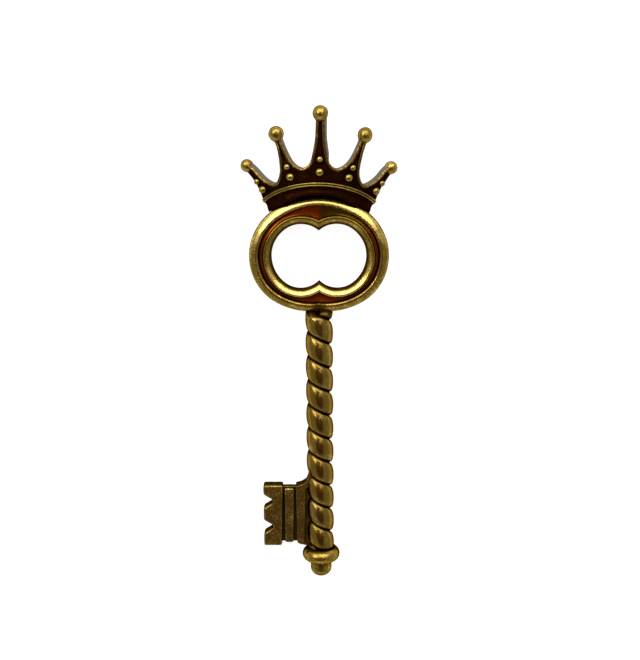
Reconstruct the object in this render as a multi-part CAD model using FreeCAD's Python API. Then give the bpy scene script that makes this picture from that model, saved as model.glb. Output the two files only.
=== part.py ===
import FreeCAD
import Part
import math
import os

# Crown-topped decorative skeleton key in antique brass, lying on its back.
# Millimetres. X runs across the key, Y runs along it with the crown at +Y,
# Z points up, away from the surface that it lies on.
# It rests on the collar and on the two outer pearls of the crown.
# The origin is under the middle of the key's box.

V = FreeCAD.Vector
ACROSS = V(1, 0, 0)
ALONG = V(0, 1, 0)
UP = V(0, 0, 1)

# Fits shared by the joints, and how far a cut runs past what it cuts
fit = 0.05
overrun = 2.0
overrun_angle = 3.0

# Stem: a round bar with one left-handed groove cut round it, so that it
# reads as a single thick strand. Groove section: share of its half width
# from the middle, share of its depth
stem_radius = 3.4
stem_length = 63.5
groove_pitch = 6.34
groove_depth = 0.72
groove_width = 3.2
# the groove's side as shares of half its width and of its depth, from the surface to its foot
groove_shares = ((1.0, 0.0), (0.0, 1.0))
groove_start = 0.1
spigot_radius = 1.6
spigot_reach = 1.9
tenon_radius = 1.3
tenon_length = 2.6

# Collar and end knob
collar_radius = 4.89
collar_thickness = 3.64
collar_facets = 4
knob_radius = 2.74
knob_length = 4.46
knob_dome = 1.7
knob_facets = 3

# Bow: an oval ring round an eye of two overlapping upright ovals.
# An end share is the radius at an oval's ends, as a share of its short half
bow_half_width = 17.46
bow_half_height = 14.1
bow_end_share = 0.92
outer_bead_width = 2.5
outer_bead_height = 4.6
eye_half_width = 7.25
eye_half_height = 8.25
eye_end_share = 0.88
eye_offset = 4.6
inner_bead_width = 2.3
inner_bead_height = 4.0
bead_facets = 3
web_thickness = 2.4
neck_reach = 0.3
neck_rise = 2.2
neck_top_radius = 1.7

# Crown: a flared shell that leans back by its own flare, so that its front
# lies along the key
crown_radius = 16.0
crown_wall = 1.22
crown_flare = 39.0
crown_half_angle = 59.5
crown_lift = 4.2
band_drop = 2.1
rim_width = 0.7
rim_height = 0.3
moulding_bead_radius = 0.27
moulding_facets = 3
moulding_base = 0.2
moulding_overhang_angle = 0.8
foot_rise = 0.3
foot_thickness = 1.2
foot_depth = 1.7

# Spikes from the middle outwards: place round the crown at the root and at
# the tip in degrees, height to the pearl, half width at the tip, pearl radius
spike_root_angles = (0, 22.9, 51.3)
spike_tip_angles = (0, 26.5, 56.8)
middle_spike_height = 17.0
inner_spike_height = 13.4
outer_spike_height = 9.7
spike_tip_half_width = 1.12
middle_pearl_radius = 1.9
inner_pearl_radius = 1.8
outer_pearl_radius = 1.63
pearl_facets = 8

# Valleys between the spikes, from the middle outwards
valley_angles = (13.6, 42.4)
inner_valley_height = 4.25
outer_valley_height = 2.8

# How a spike widens towards its root: share of its height above the valley,
# share of its widening. The outer spikes widen more evenly
flank_shares = ((0.50, 0.03), (0.30, 0.12), (0.10, 0.40))
outer_flank_shares = ((0.66, 0.36), (0.34, 0.56), (0.17, 0.71))

# The crown's two ends, from the moulding up the back of the outer spikes:
# share of the spike's height, share of the crown's half angle
end_shares = ((0.0, 1.0), (0.22, 0.965), (0.40, 0.95), (0.60, 0.953), (0.80, 0.97))

# Round studs on the face of each spike, at shares of the spike's height
low_stud_radius = 1.05
low_stud_shares = (0.174, 0.187, 0.235)
high_stud_radius = 0.82
high_stud_shares = (0.356, 0.376, 0.49)
stud_skirt_share = 0.15
stud_facets = 3
stud_sides = 12

# Lug on top of the bow that is riveted through the crown's foot plate
lug_width = 6.4
lug_thickness = 1.6
lug_stand = 0.5

# Bit: three upright bars with grooves between them that widen downwards
bit_reach = 14.9
bit_thickness = 3.56
bit_above_collar = 1.0
low_tooth_height = 3.7
middle_tooth_height = 3.25
high_tooth_height = 2.1
notch_height = 3.7
notch_depth = 2.4
notch_floor = 0.8
outer_bar_width = 5.1
middle_bar_width = 2.55
bar_groove_top = 0.32
bar_groove_foot = 0.95
bar_groove_depth = 0.9
middle_bar_lift = 1.05
middle_bar_drop = 0.6
root_flare = 3.9
root_foot = 0.85
root_bend_share = 0.3
root_sink_share = 0.5
tongue_thickness = 1.6
tongue_length = 12.0
tongue_depth = 1.7

# Places along the key, worked out from its length
key_length = (knob_length + collar_thickness + stem_length + neck_reach + 2 * bow_half_height
              + crown_lift + middle_spike_height + middle_pearl_radius)
y_end = -key_length / 2
y_collar = y_end + knob_length
y_stem = y_collar + collar_thickness
y_neck = y_stem + stem_length
y_bow = y_neck + neck_reach + bow_half_height
y_moulding = y_bow + bow_half_height + crown_lift
z_stem = collar_radius

spike_heights = (middle_spike_height, inner_spike_height, outer_spike_height)
valley_heights = (inner_valley_height, outer_valley_height)
pearl_radii = (middle_pearl_radius, inner_pearl_radius, outer_pearl_radius)

flare_sin = math.sin(math.radians(crown_flare))
flare_cos = math.cos(math.radians(crown_flare))
crown_axis = V(0, flare_cos, -flare_sin)
crown_front = V(0, flare_sin, flare_cos)


def face_normal(angle):
    """Direction that points straight out of the crown's face."""
    turn = math.radians(angle)
    outward = ACROSS * math.sin(turn) + crown_front * math.cos(turn)
    return outward * flare_cos - crown_axis * flare_sin


def crown_offset(angle, rise, stand):
    """Place on the crown's face, measured from the middle of its moulding."""
    turn = math.radians(angle)
    outward = ACROSS * math.sin(turn) + crown_front * math.cos(turn)
    radius = crown_radius + rise * flare_sin
    return crown_axis * (rise * flare_cos) + outward * radius + face_normal(angle) * stand


# The outer pearls touch the surface that the key lies on
pearl_stand = -crown_wall / 2
outer_pearl_drop = crown_offset(spike_tip_angles[2], outer_spike_height, pearl_stand).z
crown_centre = V(0, y_moulding - crown_offset(0, 0, 0).y, outer_pearl_radius - outer_pearl_drop)


def crown_point(angle, rise, stand=0):
    return crown_centre + crown_offset(angle, rise, stand)


def bar(radius, start, length):
    """Round bar along the key, on the stem's line."""
    return Part.makeCylinder(radius, length, V(0, start, z_stem), ALONG)


def block(low, high):
    size = high - low
    return Part.makeBox(size.x, size.y, size.z, low)


def closed_face(points):
    return Part.Face(Part.makePolygon(list(points) + [points[0]]))


def clean(shape):
    return shape.removeSplitter()


def dome(radius, facets, start, end):
    """Points on a circle between two angles, joined by flat facets."""
    turns = [math.radians(start + (end - start) * step / facets) for step in range(facets + 1)]
    return [(radius * math.cos(turn), radius * math.sin(turn)) for turn in turns]


def turned(profile):
    """Solid turned from (radius, distance) points round the stem's line."""
    points = [V(out, along, z_stem) for out, along in profile]
    return closed_face(points).revolve(V(0, 0, z_stem), ALONG, 360)


def faceted(profile, sides, centre, axis):
    """Solid with flat facets from (radius, height) points, first and last on the axis."""
    first = axis.cross(ALONG).normalize()
    second = axis.cross(first)
    rings = []
    for out, rise in profile[1:-1]:
        turns = [2 * math.pi * side / sides for side in range(sides)]
        rings.append([centre + axis * rise + (first * math.cos(turn) + second * math.sin(turn)) * out
                      for turn in turns])
    ends = [centre + axis * rise for out, rise in (profile[0], profile[-1])]
    faces = []
    for side in range(sides):
        after = (side + 1) % sides
        faces.append(closed_face([ends[0], rings[0][after], rings[0][side]]))
        faces.append(closed_face([ends[1], rings[-1][side], rings[-1][after]]))
        for low, high in zip(rings, rings[1:]):
            faces.append(closed_face([low[side], low[after], high[after], high[side]]))
    return clean(Part.makeSolid(Part.makeShell(faces)))


# Stem

def groove_cutter():
    """One groove with sloped shoulders that winds round the stem, on the Z axis."""
    crest = stem_radius + fit
    depth = groove_depth + fit
    lid = crest + groove_depth
    side = [(crest - depth * down, groove_width / 2 * out) for out, down in groove_shares]
    section = [V(lid, 0, -side[0][1])]
    section += [V(x, 0, -z) for x, z in side[:-1]]
    section += [V(x, 0, z) for x, z in reversed(side)]
    section.append(V(lid, 0, side[0][1]))
    run = stem_length + 3 * groove_pitch
    helix = Part.makeLongHelix(groove_pitch, run, stem_radius, 0, True)
    outline = Part.makePolygon(section + [section[0]])
    return Part.Wire(helix.Edges).makePipeShell([outline], True, True)


def make_stem():
    body = Part.makeCylinder(stem_radius, stem_length)
    groove = groove_cutter()
    # the groove meets the front of the stem just below the neck
    groove.rotate(V(0, 0, 0), UP, -90)
    turns = math.ceil(stem_length / groove_pitch) + 1
    groove.translate(UP * (stem_length - groove_start - turns * groove_pitch))
    body = body.cut(groove)
    body.rotate(V(0, 0, 0), ACROSS, -90)
    body.translate(V(0, y_stem, z_stem))
    tenon = bar(tenon_radius, y_neck - overrun, overrun + tenon_length)
    spigot = bar(spigot_radius, y_stem - collar_thickness - spigot_reach,
                 collar_thickness + spigot_reach + overrun)
    body = body.fuse([tenon, spigot])
    return clean(body.cut(bit_mortise()))


# Collar and end knob

def make_collar():
    half = collar_thickness / 2
    foot = collar_radius - half
    inside = spigot_radius + fit
    middle = y_collar + half
    rim = [(foot + out, middle + rise) for out, rise in dome(half, collar_facets, -90, 90)]
    return turned([(inside, y_collar)] + rim + [(inside, y_stem)])


def make_knob():
    flatness = knob_dome / knob_radius
    rounding = dome(knob_radius, knob_facets, 0, 90)[:-1]
    profile = [(0, y_collar), (knob_radius, y_collar)]
    profile += [(out, y_end + knob_dome - rise * flatness) for out, rise in rounding]
    knob = turned(profile + [(0, y_end)])
    socket = bar(spigot_radius + fit, y_collar - spigot_reach - fit, spigot_reach + fit + overrun)
    return knob.cut(socket)


# Bow

def bow_point(x, y, z=0):
    return V(x, y_bow + y, z_stem + z)


def oval_arcs(long_half, short_half, end_share, grow):
    """Four arcs that run into each other: centre, radius, start, sweep."""
    end_radius = end_share * short_half
    reach = long_half - end_radius
    rise = short_half - end_radius
    drop = (reach ** 2 - rise ** 2) / (2 * rise)
    angle = math.degrees(math.atan2(drop, reach))
    end = end_radius + grow
    flat = short_half + drop + grow
    return [(V(reach, 0, 0), end, -angle, 2 * angle),
            (V(0, -drop, 0), flat, angle, 180 - 2 * angle),
            (V(-reach, 0, 0), end, 180 - angle, 2 * angle),
            (V(0, drop, 0), flat, 180 + angle, 180 - 2 * angle)]


def ring_arcs(grow):
    return oval_arcs(bow_half_width, bow_half_height, bow_end_share, grow)


def eye_arcs(side, grow):
    """One lobe of the eye: an upright oval beside the middle of the bow."""
    arcs = oval_arcs(eye_half_height, eye_half_width, eye_end_share, grow)
    return [(V(side * eye_offset - centre.y, centre.x, 0), radius, start + 90, sweep)
            for centre, radius, start, sweep in arcs]


def bead_along(arcs, width, height):
    """Straight-sided bead with rounded faces, carried along arcs."""
    half = width / 2
    flank = height / 2 - half
    face = [(out, flank + rise) for out, rise in dome(half, bead_facets, 0, 180)]
    back = [(out, -flank + rise) for out, rise in dome(half, bead_facets, 180, 360)]
    pieces = []
    for centre, radius, start, sweep in arcs:
        section = closed_face([V(radius + out, 0, rise) for out, rise in face + back])
        section.rotate(V(0, 0, 0), UP, start)
        piece = section.revolve(V(0, 0, 0), UP, sweep)
        piece.translate(bow_point(centre.x, centre.y))
        pieces.append(piece)
    return pieces


def plate_inside(arcs, thickness):
    edges = [Part.makeCircle(radius, bow_point(centre.x, centre.y, -thickness / 2), UP,
                             start, start + sweep)
             for centre, radius, start, sweep in arcs]
    return Part.Face(Part.Wire(edges)).extrude(UP * thickness)


def outer_bead():
    return bead_along(ring_arcs(-outer_bead_width / 2), outer_bead_width, outer_bead_height)


def inner_bead():
    """Round each lobe of the eye; the two meet in a mitre at the middle."""
    reach = bow_half_width + overrun
    beads = []
    for side in (1, -1):
        ends = sorted((0, side * reach))
        keep = block(bow_point(ends[0], -reach, -inner_bead_height),
                     bow_point(ends[1], reach, inner_bead_height))
        for piece in bead_along(eye_arcs(side, inner_bead_width / 2), inner_bead_width, inner_bead_height):
            beads.append(piece.common(keep))
    return [bead for bead in beads if bead.Solids]


def make_bow():
    web = plate_inside(ring_arcs(-outer_bead_width / 2), web_thickness)
    for side in (1, -1):
        web = web.cut(plate_inside(eye_arcs(side, inner_bead_width / 2), web_thickness + overrun))
    taper = Part.makeCone(stem_radius, neck_top_radius, neck_rise, V(0, y_neck + neck_reach, z_stem), ALONG)
    neck = bar(stem_radius, y_neck, neck_reach)
    body = web.fuse(outer_bead() + inner_bead() + [neck, taper, lug(0)])
    body = body.cut(bar(tenon_radius + fit, y_neck - overrun, overrun + tenon_length + fit))
    return clean(body)


def lug(clearance):
    """Flat tongue on top of the bow that passes through the crown's foot plate."""
    half = lug_width / 2 + clearance
    thick = lug_thickness / 2 + clearance
    start = bow_half_height - outer_bead_width
    plate_top = crown_centre + crown_axis * (foot_rise + foot_thickness)
    depth = (plate_top.z - z_stem) / flare_cos
    top = plate_top.y - depth * flare_sin + lug_stand
    return block(bow_point(-half, start, -thick), V(half, top, z_stem + thick))


# Crown

def crown_sector(low, high, inner, outer, half_angle):
    """Sector of the flared shell between two heights and between two faces."""
    corners = [crown_point(-half_angle, low, inner), crown_point(-half_angle, high, inner),
               crown_point(-half_angle, high, outer), crown_point(-half_angle, low, outer)]
    return closed_face(corners).revolve(crown_centre, crown_axis, 2 * half_angle)


# The sheet reaches past the crown's ends, and its cuts reach past the sheet
sheet_half_angle = max(crown_half_angle, spike_tip_angles[2]) + overrun_angle

# Walls of the spikes run towards one point on the crown's axis
wall_focus = crown_centre + crown_axis * (inner_valley_height * flare_cos)


def flare_prism(outline, angle):
    """Closed outline on the crown's face, drawn in towards the focus as a solid."""
    facing = (crown_point(angle, inner_valley_height) - wall_focus).normalize()
    far = crown_radius + middle_spike_height
    near = crown_radius / 2
    ends = []
    for reach in (far, near):
        edges = []
        for points in outline:
            spots = []
            for point in points:
                ray = point - wall_focus
                spots.append(wall_focus + ray * (reach / ray.dot(facing)))
            if len(spots) == 2:
                edges.append(Part.LineSegment(spots[0], spots[1]).toShape())
            else:
                curve = Part.BSplineCurve()
                curve.interpolate(spots)
                edges.append(curve.toShape())
        ends.append(Part.Wire(edges))
    return Part.makeLoft(ends, True, True)


def spike_angle(number, rise):
    root = spike_root_angles[number]
    lean = spike_tip_angles[number] - root
    return root + lean * rise / spike_heights[number]


def half_turn(width, rise):
    """Angle that a width on the crown's face takes up at a height."""
    return math.degrees(width / (crown_radius + rise * flare_sin))


def flank(number, side, inset=0):
    """Edge of a spike from its tip down to the floor of the valley beside it."""
    valley = number if side > 0 else number - 1
    floor = valley_heights[valley]
    height = spike_heights[number]
    root_turn = abs(valley_angles[valley] - spike_angle(number, floor))
    root_half = math.radians(root_turn) * (crown_radius + floor * flare_sin)
    shares = outer_flank_shares if number == 2 else flank_shares
    points = []
    for rise_share, width_share in ((1.0, 0.0),) + shares:
        rise = floor + (height - floor) * rise_share
        half = spike_tip_half_width + (root_half - spike_tip_half_width) * width_share
        points.append((spike_angle(number, rise) + side * half_turn(half - inset, rise), rise))
    return points, (valley_angles[valley], floor)


def mirror_outline(outline):
    return [[(-angle, rise) for angle, rise in points] for points in outline]


def on_face(outline):
    return [[crown_point(angle, rise) for angle, rise in points] for points in outline]


def valley_curve(number, inset=0):
    """Edge of one valley, from the tip of the inner spike to the tip of the outer one."""
    down, floor = flank(number, 1, inset)
    up, floor = flank(number + 1, -1, inset)
    bottom = (floor[0], floor[1] - inset)
    return down + [bottom] + list(reversed(up))


def valley_prism(number, side, inset):
    edge = valley_curve(number, inset)
    outline = [edge, [edge[-1], edge[0]]]
    if side < 0:
        outline = mirror_outline(outline)
    return flare_prism(on_face(outline), side * valley_angles[number])


def joined(corners):
    """Straight edges from corner to corner."""
    return [[a, b] for a, b in zip(corners, corners[1:])]


def half_outline():
    """What is cut away from the flared shell on its right half, as one closed outline."""
    above = middle_spike_height + 2 * overrun
    below = -band_drop - overrun
    inner_edge = valley_curve(0)
    outer_edge = valley_curve(1)
    height = outer_spike_height
    tip = (spike_tip_angles[2] + half_turn(spike_tip_half_width, height), height)
    end_edge = [tip] + [(crown_half_angle * turn, height * rise) for rise, turn in reversed(end_shares)]
    far = sheet_half_angle + overrun_angle
    lid = joined([end_edge[-1], (crown_half_angle, below), (far, below), (far, above),
                  (inner_edge[0][0], above), inner_edge[0]])
    return [inner_edge, [inner_edge[-1], outer_edge[0]], outer_edge, [outer_edge[-1], tip], end_edge] + lid


def sheet(inner, outer):
    """The crown's outline as a layer between two faces, band and spikes in one."""
    layer = crown_sector(-band_drop, middle_spike_height, inner, outer, sheet_half_angle)
    outline = half_outline()
    layer = layer.cut(flare_prism(on_face(outline), valley_angles[1]))
    return layer.cut(flare_prism(on_face(mirror_outline(outline)), -valley_angles[1]))


def foot_plate():
    """Half-moon plate that closes the crown's foot and sits on top of the bow."""
    corners = [crown_centre + crown_axis * rise for rise in (foot_rise, foot_rise + foot_thickness)]
    turn = math.radians(crown_half_angle)
    outward = crown_front * math.cos(turn) - ACROSS * math.sin(turn)
    reach = crown_radius - crown_wall / 2
    points = [corners[0], corners[1], corners[1] + outward * reach, corners[0] + outward * reach]
    plate = closed_face(points).revolve(crown_centre, crown_axis, 2 * crown_half_angle)
    keep = block(V(-crown_radius, y_bow, z_stem - foot_depth),
                 V(crown_radius, y_moulding + crown_radius, z_stem + crown_radius))
    return plate.common(keep)


def pearl_centre(number, side):
    return crown_point(side * spike_tip_angles[number], spike_heights[number], pearl_stand)


def pearl_places():
    return [("outer_left", 2, -1), ("inner_left", 1, -1), ("middle", 0, 1),
            ("inner_right", 1, 1), ("outer_right", 2, 1)]


def make_crown():
    body = sheet(-crown_wall, 0).fuse(foot_plate())
    body = body.cut(lug(fit))
    for arc in outer_bead():
        body = body.cut(arc)
    return clean(body)


def make_pearl(number, side, crown):
    profile = dome(pearl_radii[number], pearl_facets, -90, 90)
    return faceted(profile, 2 * pearl_facets, pearl_centre(number, side), UP).cut(crown)


def make_rim(number, side, face_layer):
    rim = face_layer.common(valley_prism(number, side, rim_width))
    for end in (number, number + 1):
        rim = rim.cut(Part.makeSphere(pearl_radii[end], pearl_centre(end, side)))
    return rim


def make_moulding():
    """Two thin beads side by side on one strip, on the crown's face above its band."""
    radius = moulding_bead_radius
    start = -crown_half_angle - moulding_overhang_angle
    beads = [(side * radius + out, moulding_base + rise)
             for side in (1, -1)
             for out, rise in dome(radius, moulding_facets, 0, 180)[:-1]]
    profile = beads + [(-2 * radius, moulding_base), (-2 * radius, 0), (2 * radius, 0)]
    section = closed_face([crown_point(start, rise, stand) for rise, stand in profile])
    return section.revolve(crown_centre, crown_axis, -2 * start)


def make_stud(number, side, radius, share):
    rise = spike_heights[number] * share
    angle = side * spike_angle(number, rise)
    skirt = radius * stud_skirt_share
    cap = [(out, skirt + height) for out, height in dome(radius, stud_facets, 0, 90)[:-1]]
    profile = [(0, 0), (radius, 0)] + cap + [(0, skirt + radius)]
    return faceted(profile, stud_sides, crown_point(angle, rise), face_normal(angle))


# Bit

bit_low = y_stem + bit_above_collar
bit_high = bit_low + low_tooth_height + middle_tooth_height + high_tooth_height + 2 * notch_height
bit_middle = (bit_low + bit_high) / 2


def bit_mortise():
    half = tongue_thickness / 2 + fit
    reach = tongue_length / 2 + fit
    return block(V(-stem_radius - overrun, bit_middle - reach, z_stem - half),
                 V(-stem_radius + tongue_depth + fit, bit_middle + reach, z_stem + half))


def bar_groove(middle, face):
    """Groove between two bars, cut into one face, wider at its foot."""
    surface = z_stem + face * bit_thickness / 2
    sections = []
    for y, width in ((bit_low - overrun, bar_groove_foot), (bit_high + overrun, bar_groove_top)):
        # sides carry on above the face, so that the width is met on the face itself
        spread = width / 2 * (bar_groove_depth + overrun) / bar_groove_depth
        sections.append(Part.makePolygon([
            V(middle - spread, y, surface + face * overrun),
            V(middle + spread, y, surface + face * overrun),
            V(middle, y, surface - face * bar_groove_depth),
            V(middle - spread, y, surface + face * overrun)]))
    return Part.makeLoft(sections, True, True)


def make_bit():
    left = -bit_reach
    outer_edge = left + outer_bar_width
    middle_edge = outer_edge + bar_groove_top + middle_bar_width
    root_left = middle_edge + bar_groove_top
    middle_low = bit_low + middle_bar_lift
    middle_high = bit_high - middle_bar_drop
    slope = (notch_height - notch_floor) / 2
    root = -stem_radius * root_sink_share

    # left edge with its three teeth, from the foot upwards
    points = [(left, bit_low)]
    y = bit_low
    for tooth in (low_tooth_height, middle_tooth_height):
        y = y + tooth
        points += [(left, y), (left + notch_depth, y + slope),
                   (left + notch_depth, y + slope + notch_floor), (left, y + notch_height)]
        y = y + notch_height
    points += [(left, bit_high), (outer_edge, bit_high), (outer_edge, middle_high),
               (root_left, middle_high)]
    low_points = [(root, middle_low - root_foot), (-stem_radius - bar_groove_top, middle_low - root_foot),
                  (root_left, middle_low), (outer_edge, middle_low), (outer_edge, bit_low), (left, bit_low)]

    def spot(place):
        return V(place[0], place[1], z_stem - bit_thickness / 2)

    # the root sweeps up into the stem
    rise = (root, middle_high + root_flare)
    bend = (root_left + (root - root_left) * (1 - root_bend_share), middle_high + root_flare * root_bend_share)
    corners = [spot(place) for place in points]
    foot = [spot(place) for place in [rise] + low_points]
    outline = [Part.LineSegment(a, b).toShape() for a, b in zip(corners, corners[1:])]
    outline.append(Part.Arc(corners[-1], spot(bend), foot[0]).toShape())
    outline += [Part.LineSegment(a, b).toShape() for a, b in zip(foot, foot[1:])]
    plate = Part.Face(Part.Wire(outline)).extrude(UP * bit_thickness)
    plate = plate.cut(bar(stem_radius, bit_low - overrun, bit_high - bit_low + root_flare + 2 * overrun))
    for middle in (outer_edge + bar_groove_top / 2, middle_edge + bar_groove_top / 2):
        for face in (-1, 1):
            plate = plate.cut(bar_groove(middle, face))
    half = tongue_thickness / 2
    tongue = block(V(-stem_radius - bar_groove_top, bit_middle - tongue_length / 2, z_stem - half),
                   V(-stem_radius + tongue_depth, bit_middle + tongue_length / 2, z_stem + half))
    return clean(plate.fuse(tongue))


def build():
    parts = {}
    parts["bow"] = make_bow()
    crown = make_crown()
    parts["crown"] = crown
    parts["crown_moulding"] = make_moulding()
    face_layer = sheet(0, rim_height)
    for side, word in ((-1, "left"), (1, "right")):
        for number, place in ((0, "inner"), (1, "outer")):
            parts["rim_" + place + "_" + word] = make_rim(number, side, face_layer)
    for name, number, side in pearl_places():
        parts["pearl_" + name] = make_pearl(number, side, crown)
        parts["stud_" + name + "_lower"] = make_stud(number, side, low_stud_radius, low_stud_shares[number])
        parts["stud_" + name + "_upper"] = make_stud(number, side, high_stud_radius, high_stud_shares[number])
    parts["stem"] = make_stem()
    parts["bit"] = make_bit()
    parts["collar"] = make_collar()
    parts["end_knob"] = make_knob()
    return parts


os.makedirs("parts", exist_ok=True)
for name, shape in build().items():
    shape.exportStep("parts/" + name + ".step")
    box = shape.BoundBox
    print(name, "solids", len(shape.Solids), "valid", shape.isValid(), "volume", round(shape.Volume, 2),
          "x", round(box.XMin, 2), round(box.XMax, 2), "y", round(box.YMin, 2), round(box.YMax, 2),
          "z", round(box.ZMin, 2), round(box.ZMax, 2))
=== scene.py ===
import math
import bpy
import bmesh
from mathutils import Matrix, Vector, noise


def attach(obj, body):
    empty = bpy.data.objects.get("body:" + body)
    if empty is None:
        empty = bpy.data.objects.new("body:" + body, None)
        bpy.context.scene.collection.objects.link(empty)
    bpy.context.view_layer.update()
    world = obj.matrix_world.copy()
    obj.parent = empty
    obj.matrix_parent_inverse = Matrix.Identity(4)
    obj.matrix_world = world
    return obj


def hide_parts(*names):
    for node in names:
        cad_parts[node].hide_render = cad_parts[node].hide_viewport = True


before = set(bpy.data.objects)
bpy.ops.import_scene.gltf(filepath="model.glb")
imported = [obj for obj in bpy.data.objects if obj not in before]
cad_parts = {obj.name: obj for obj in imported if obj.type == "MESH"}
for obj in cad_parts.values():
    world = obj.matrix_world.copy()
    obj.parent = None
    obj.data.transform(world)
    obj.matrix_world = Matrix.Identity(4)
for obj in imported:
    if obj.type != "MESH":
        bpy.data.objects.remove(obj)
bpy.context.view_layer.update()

mm = 0.001
scene = bpy.context.scene

# Places along the key in millimetres, as the CAD has them
keyPlan = {
    "stemHeight": 4.89,      # middle of the stem above the floor
    "knobEnd": -61.6,
    "collarStart": -57.14,
    "stemStart": -53.5,
    "bowMiddle": 24.4,
    "mouldingFront": 42.7,
}

print("Materials")


# sRGB hex to linear, with alpha 1
def hexColour(text):
    parts = [int(text[i:i + 2], 16) / 255 for i in (1, 3, 5)]
    return tuple(p / 12.92 if p <= 0.04045 else ((p + 0.055) / 1.055) ** 2.4 for p in parts) + (1.0,)


# texture scale that gives a pattern of this size in mm
def perMm(size):
    return 1 / (size * mm)


# one node with its settings, and links by input name or number
def addNode(tree, kind, settings=None, links=None):
    node = tree.nodes.new(kind)
    for name, value in (settings or {}).items():
        if name == "stops":
            ramp = node.color_ramp
            while len(ramp.elements) < len(value):
                ramp.elements.new(0.5)
            for element, (place, colour) in zip(ramp.elements, value):
                element.position = place
                element.color = colour
        elif isinstance(name, str) and hasattr(node, name):
            setattr(node, name, value)
        else:
            node.inputs[name].default_value = value
    for name, socket in (links or {}).items():
        tree.links.new(socket, node.inputs[name])
    return node


def startMaterial(name):
    material = bpy.data.materials.new(name)
    material.use_nodes = True
    tree = material.node_tree
    tree.nodes.clear()
    output = tree.nodes.new("ShaderNodeOutputMaterial")
    return material, tree, output


# cast brass, darkened all over and rubbed back on the high places, with painted shade on side walls and the
# patina, painted shade and painted highlights that the mesh carries
def castBrass(name, look):
    material, tree, output = startMaterial(name)
    coords = addNode(tree, "ShaderNodeTexCoord")
    place = coords.outputs["Object"]
    # 1 in the open and near 0 deep in a recess
    hollow = addNode(tree, "ShaderNodeAmbientOcclusion",
                     {"samples": look["hollowSamples"], "Distance": look["hollowSize"] * mm}).outputs["AO"]
    # what faces up or down keeps its colour and side walls are painted darker: painted shade for walls turned
    # sideways from the light overhead
    facing = addNode(tree, "ShaderNodeSeparateXYZ", {}, {"Vector": coords.outputs["Normal"]}).outputs["Z"]
    facing = addNode(tree, "ShaderNodeMath", {"operation": "ABSOLUTE"}, {0: facing}).outputs[0]
    flat = addNode(tree, "ShaderNodeMapRange",
                   {"interpolation_type": "SMOOTHSTEP", "From Min": 0.0, "From Max": look["shadedWallFacing"],
                    "To Min": -look["wallShare"], "To Max": 0.0},
                   {"Value": facing}).outputs["Result"]
    # patina, painted shade and painted highlights stored in the mesh: above 0 darkens, below 0 is a painted
    # highlight, 0 where there is none
    patinaShadeHighlightValue = addNode(tree, "ShaderNodeAttribute", {"attribute_name": "patina"}).outputs["Fac"]
    cloud = addNode(tree, "ShaderNodeTexNoise",
                    {"Scale": perMm(look["cloudSize"]), "Detail": look["cloudDetail"]},
                    {"Vector": place}).outputs["Fac"]
    grain = addNode(tree, "ShaderNodeTexNoise",
                    {"Scale": perMm(look["grainSize"]), "Detail": look["grainDetail"],
                     "Roughness": look["grainRough"]}, {"Vector": place}).outputs["Fac"]
    worn = addNode(tree, "ShaderNodeMath", {"operation": "MULTIPLY", 1: look["openLevel"]},
                   {0: hollow}).outputs[0]
    worn = addNode(tree, "ShaderNodeMath", {"operation": "ADD"}, {0: worn, 1: flat}).outputs[0]
    worn = addNode(tree, "ShaderNodeMath", {"operation": "SUBTRACT"}, {0: worn, 1: patinaShadeHighlightValue}).outputs[0]
    for share, field in ((look["cloudShare"], cloud), (look["grainShare"], grain)):
        shift = addNode(tree, "ShaderNodeMath", {"operation": "MULTIPLY_ADD", 1: share, 2: -0.5 * share},
                        {0: field}).outputs[0]
        worn = addNode(tree, "ShaderNodeMath", {"operation": "ADD"}, {0: worn, 1: shift}).outputs[0]
    low, middle, high = look["steps"]
    colour = addNode(tree, "ShaderNodeValToRGB",
                     {"stops": [(low, hexColour(look["recess"])), (middle, hexColour(look["brown"])),
                                (high, hexColour(look["rubbed"])), (1.0, hexColour(look["bright"]))]},
                     {"Fac": worn}).outputs["Color"]
    if "rightReflectionTint" in look:
        # the painted reflection turns from red to olive right of the middle, at the top alone
        spot = addNode(tree, "ShaderNodeSeparateXYZ", {}, {"Vector": place})
        parts = [addNode(tree, "ShaderNodeMapRange", {"From Min": start * mm, "From Max": end * mm},
                         {"Value": spot.outputs[axis]}).outputs["Result"]
                 for axis, (start, end) in look["reflectionTintRange"].items()]
        turned = addNode(tree, "ShaderNodeMath", {"operation": "MULTIPLY"}, {0: parts[0], 1: parts[1]})
        colour = addNode(tree, "ShaderNodeMix", {"data_type": "RGBA", 7: hexColour(look["rightReflectionTint"])},
                         {0: turned.outputs[0], 6: colour}).outputs[2]
    rough = addNode(tree, "ShaderNodeMapRange",
                    {"From Min": low, "From Max": high, "To Min": look["roughDark"],
                     "To Max": look["roughBright"]}, {"Value": worn}).outputs["Result"]
    grit = addNode(tree, "ShaderNodeTexNoise",
                   {"Scale": perMm(look["gritSize"]), "Detail": look["gritDetail"]},
                   {"Vector": place}).outputs["Fac"]
    bump = addNode(tree, "ShaderNodeBump",
                   {"Strength": look["gritStrength"], "Distance": look["gritDepth"] * mm},
                   {"Height": grit}).outputs["Normal"]
    skin = addNode(tree, "ShaderNodeBsdfPrincipled",
                   {"Metallic": look["metallic"], "Specular Tint": hexColour(look["edgeTint"])},
                   {"Base Color": colour, "Roughness": rough, "Normal": bump})
    tree.links.new(skin.outputs[0], output.inputs["Surface"])
    return material
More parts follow.
